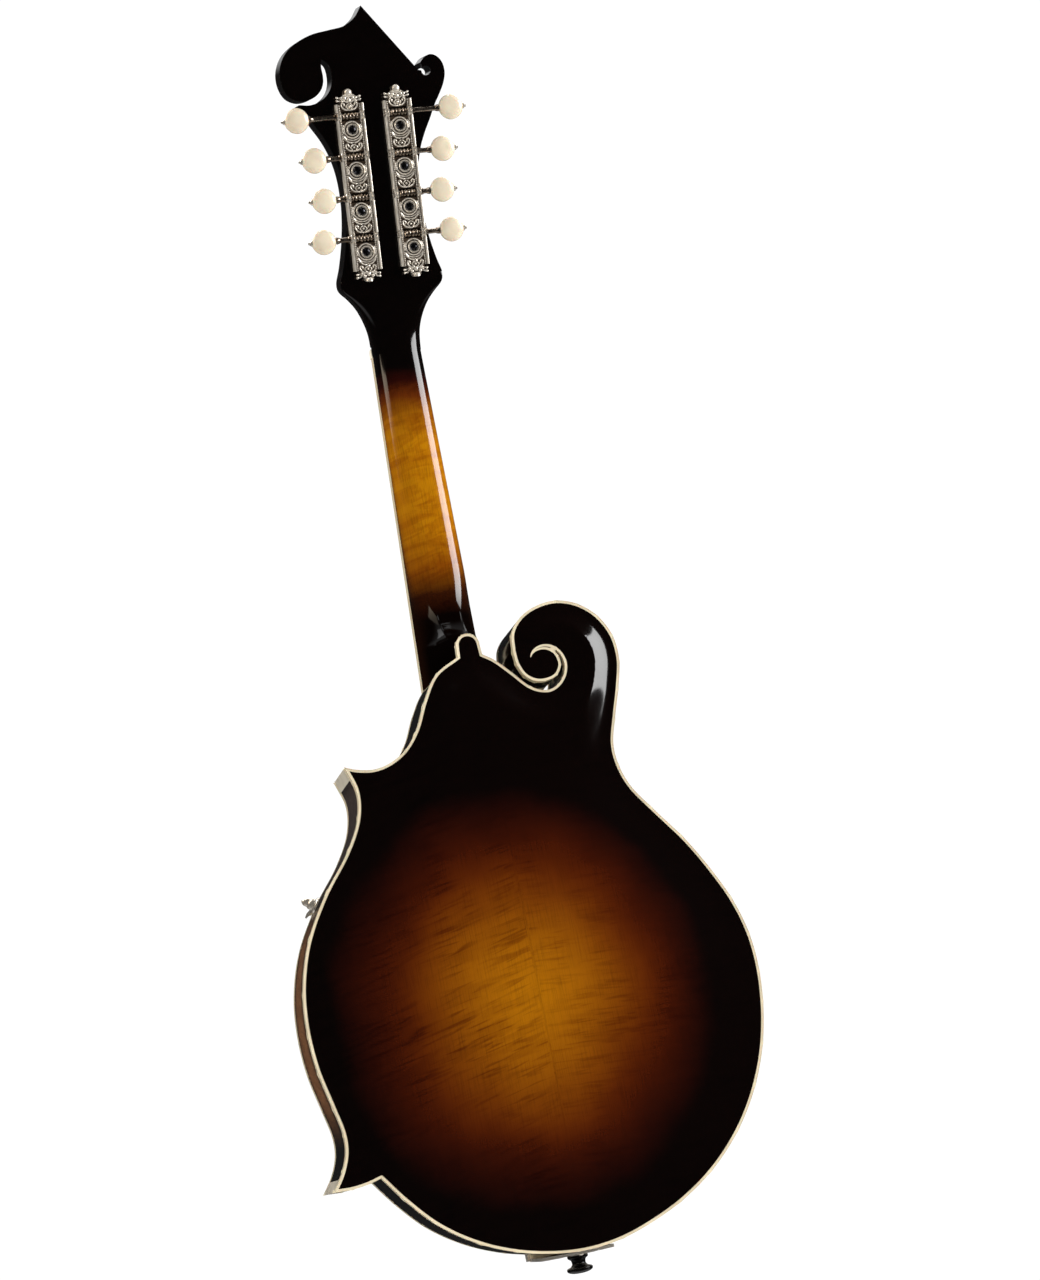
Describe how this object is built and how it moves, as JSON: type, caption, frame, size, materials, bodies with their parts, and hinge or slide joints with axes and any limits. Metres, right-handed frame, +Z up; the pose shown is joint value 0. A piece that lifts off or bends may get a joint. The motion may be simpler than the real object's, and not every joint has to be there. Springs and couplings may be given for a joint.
{
  "type": "mandolin",
  "caption": "Carved mandolin with a body scroll, two body points, an arched back, f-holes, a long neck and a scrolled headstock with engraved tuning machines.",
  "frame": {"origin": "the end face of the end pin, on the centre line and halfway through the depth of the rim", "axes": "+Z up the neck from the tail to the headstock, -Y out of the soundboard towards the player's hand, +Y out of the back, +X towards the treble side"},
  "size_m": [0.2543, 0.124, 0.7231],
  "materials": {
    "flamed_maple_back": "gloss lacquered sunburst over flamed maple",
    "dark_maple": "gloss lacquered near-black sunburst",
    "spruce_top": "gloss lacquered sunburst over spruce",
    "raw_wood": "bare wood inside the body",
    "binding_cream": "aged cream, polished",
    "ebony": "oiled, satin",
    "bone": "polished bone",
    "black_gloss": "polished black",
    "button_cream": "polished cream",
    "nickel": "polished nickel plate, engraved",
    "steel": "drawn",
    "bronze": "wound bronze wire"
  },
  "bodies": {
    "instrument": {"back_plate": "flamed_maple_back", "top_plate": "spruce_top", "rim": "dark_maple", "back_binding": "binding_cream", "top_binding": "binding_cream", "upper_point_cap": "binding_cream", "lower_point_cap": "binding_cream", "head_block": "raw_wood", "tail_block": "raw_wood", "neck": "dark_maple", "fingerboard": "ebony", "nut": "bone", "truss_rod": "steel", "headstock_overlay": "black_gloss", "truss_rod_cover": "black_gloss", "tuner_plate_bass": "nickel", "tuner_plate_treble": "nickel", "bridge_base": "ebony", "tailpiece_base": "nickel", "end_pin": "black_gloss", "pickguard": "black_gloss", "pickguard_bracket": "nickel", "string_1": "bronze", "string_2": "bronze", "string_3": "bronze", "string_4": "bronze", "string_5": "steel", "string_6": "steel", "string_7": "steel", "string_8": "steel"},
    "knob_bass_1": {"worm_shaft_bass_1": "steel", "button_bass_1": "button_cream"},
    "post_bass_1": {"string_post_bass_1": "nickel"},
    "knob_bass_2": {"worm_shaft_bass_2": "steel", "button_bass_2": "button_cream"},
    "post_bass_2": {"string_post_bass_2": "nickel"},
    "knob_bass_3": {"worm_shaft_bass_3": "steel", "button_bass_3": "button_cream"},
    "post_bass_3": {"string_post_bass_3": "nickel"},
    "knob_bass_4": {"worm_shaft_bass_4": "steel", "button_bass_4": "button_cream"},
    "post_bass_4": {"string_post_bass_4": "nickel"},
    "knob_treble_1": {"worm_shaft_treble_1": "steel", "button_treble_1": "button_cream"},
    "post_treble_1": {"string_post_treble_1": "nickel"},
    "knob_treble_2": {"worm_shaft_treble_2": "steel", "button_treble_2": "button_cream"},
    "post_treble_2": {"string_post_treble_2": "nickel"},
    "knob_treble_3": {"worm_shaft_treble_3": "steel", "button_treble_3": "button_cream"},
    "post_treble_3": {"string_post_treble_3": "nickel"},
    "knob_treble_4": {"worm_shaft_treble_4": "steel", "button_treble_4": "button_cream"},
    "post_treble_4": {"string_post_treble_4": "nickel"},
    "saddle": {"bridge_saddle": "ebony"},
    "wheel_bass": {"thumbwheel_bass": "nickel"},
    "wheel_treble": {"thumbwheel_treble": "nickel"},
    "tailpiece_lid": {"tailpiece_cover": "nickel"},
    "rod_nut": {"truss_rod_nut": "steel"},
    "clamp_nut": {"pickguard_clamp_nut": "nickel"}
  },
  "joints": [
    {"name": "knob_bass_1_turn", "type": "hinge", "parent": "instrument", "child": "knob_bass_1", "pos_m": [-0.0141, 0.02365, 0.5943], "axis": [1, 0, 0], "continuous": true},
    {"name": "post_bass_1_turn", "type": "hinge", "parent": "instrument", "child": "post_bass_1", "pos_m": [-0.0141, 0.00103, 0.59448], "axis": [0, 0.9342, -0.3567], "continuous": true},
    {"name": "knob_bass_2_turn", "type": "hinge", "parent": "instrument", "child": "knob_bass_2", "pos_m": [-0.0141, 0.03193, 0.61597], "axis": [1, 0, 0], "continuous": true},
    {"name": "post_bass_2_turn", "type": "hinge", "parent": "instrument", "child": "post_bass_2", "pos_m": [-0.0141, 0.00931, 0.61616], "axis": [0, 0.9342, -0.3567], "continuous": true},
    {"name": "knob_bass_3_turn", "type": "hinge", "parent": "instrument", "child": "knob_bass_3", "pos_m": [-0.0141, 0.04021, 0.63765], "axis": [1, 0, 0], "continuous": true},
    {"name": "post_bass_3_turn", "type": "hinge", "parent": "instrument", "child": "post_bass_3", "pos_m": [-0.0141, 0.01758, 0.63783], "axis": [0, 0.9342, -0.3567], "continuous": true},
    {"name": "knob_bass_4_turn", "type": "hinge", "parent": "instrument", "child": "knob_bass_4", "pos_m": [-0.0141, 0.04848, 0.65932], "axis": [1, 0, 0], "continuous": true},
    {"name": "post_bass_4_turn", "type": "hinge", "parent": "instrument", "child": "post_bass_4", "pos_m": [-0.0141, 0.02586, 0.6595], "axis": [0, 0.9342, -0.3567], "continuous": true},
    {"name": "knob_treble_1_turn", "type": "hinge", "parent": "instrument", "child": "knob_treble_1", "pos_m": [0.0141, 0.02365, 0.5943], "axis": [1, 0, 0], "continuous": true},
    {"name": "post_treble_1_turn", "type": "hinge", "parent": "instrument", "child": "post_treble_1", "pos_m": [0.0141, 0.00103, 0.59448], "axis": [0, 0.9342, -0.3567], "continuous": true},
    {"name": "knob_treble_2_turn", "type": "hinge", "parent": "instrument", "child": "knob_treble_2", "pos_m": [0.0141, 0.03193, 0.61597], "axis": [1, 0, 0], "continuous": true},
    {"name": "post_treble_2_turn", "type": "hinge", "parent": "instrument", "child": "post_treble_2", "pos_m": [0.0141, 0.00931, 0.61616], "axis": [0, 0.9342, -0.3567], "continuous": true},
    {"name": "knob_treble_3_turn", "type": "hinge", "parent": "instrument", "child": "knob_treble_3", "pos_m": [0.0141, 0.04021, 0.63765], "axis": [1, 0, 0], "continuous": true},
    {"name": "post_treble_3_turn", "type": "hinge", "parent": "instrument", "child": "post_treble_3", "pos_m": [0.0141, 0.01758, 0.63783], "axis": [0, 0.9342, -0.3567], "continuous": true},
    {"name": "knob_treble_4_turn", "type": "hinge", "parent": "instrument", "child": "knob_treble_4", "pos_m": [0.0141, 0.04848, 0.65932], "axis": [1, 0, 0], "continuous": true},
    {"name": "post_treble_4_turn", "type": "hinge", "parent": "instrument", "child": "post_treble_4", "pos_m": [0.0141, 0.02586, 0.6595], "axis": [0, 0.9342, -0.3567], "continuous": true},
    {"name": "saddle_height", "type": "slide", "parent": "instrument", "child": "saddle", "axis": [0, -1, 0], "range_m": [-0.0015, 0]},
    {"name": "wheel_bass_turn", "type": "hinge", "parent": "saddle", "child": "wheel_bass", "pos_m": [-0.031, -0.0457, 0.1844], "axis": [0, 1, 0], "range_deg": [-675, 0]},
    {"name": "wheel_treble_turn", "type": "hinge", "parent": "saddle", "child": "wheel_treble", "pos_m": [0.031, -0.0457, 0.1844], "axis": [0, 1, 0], "range_deg": [-675, 0]},
    {"name": "tailpiece_cover_slide", "type": "slide", "parent": "instrument", "child": "tailpiece_lid", "axis": [0, -0.1736, 0.9848], "range_m": [0, 0.03]},
    {"name": "truss_rod_nut_turn", "type": "hinge", "parent": "instrument", "child": "rod_nut", "pos_m": [0, -0.0086, 0.54892], "axis": [0, 0.0889, 0.996], "range_deg": [-90, 90]},
    {"name": "clamp_nut_turn", "type": "hinge", "parent": "instrument", "child": "clamp_nut", "pos_m": [0.1056, 0.003, 0.219], "axis": [0.8601, 0, 0.5101], "continuous": true}
  ],
  "couplings": [
    {"joint": "post_bass_1_turn", "follows": "knob_bass_1_turn", "ratio": 0.0625},
    {"joint": "post_bass_2_turn", "follows": "knob_bass_2_turn", "ratio": 0.0625},
    {"joint": "post_bass_3_turn", "follows": "knob_bass_3_turn", "ratio": 0.0625},
    {"joint": "post_bass_4_turn", "follows": "knob_bass_4_turn", "ratio": 0.0625},
    {"joint": "post_treble_1_turn", "follows": "knob_treble_1_turn", "ratio": 0.0625},
    {"joint": "post_treble_2_turn", "follows": "knob_treble_2_turn", "ratio": 0.0625},
    {"joint": "post_treble_3_turn", "follows": "knob_treble_3_turn", "ratio": 0.0625},
    {"joint": "post_treble_4_turn", "follows": "knob_treble_4_turn", "ratio": 0.0625},
    {"joint": "wheel_bass_turn", "follows": "saddle_height", "rad_per_m": 7854},
    {"joint": "wheel_treble_turn", "follows": "saddle_height", "rad_per_m": 7854}
  ]
}
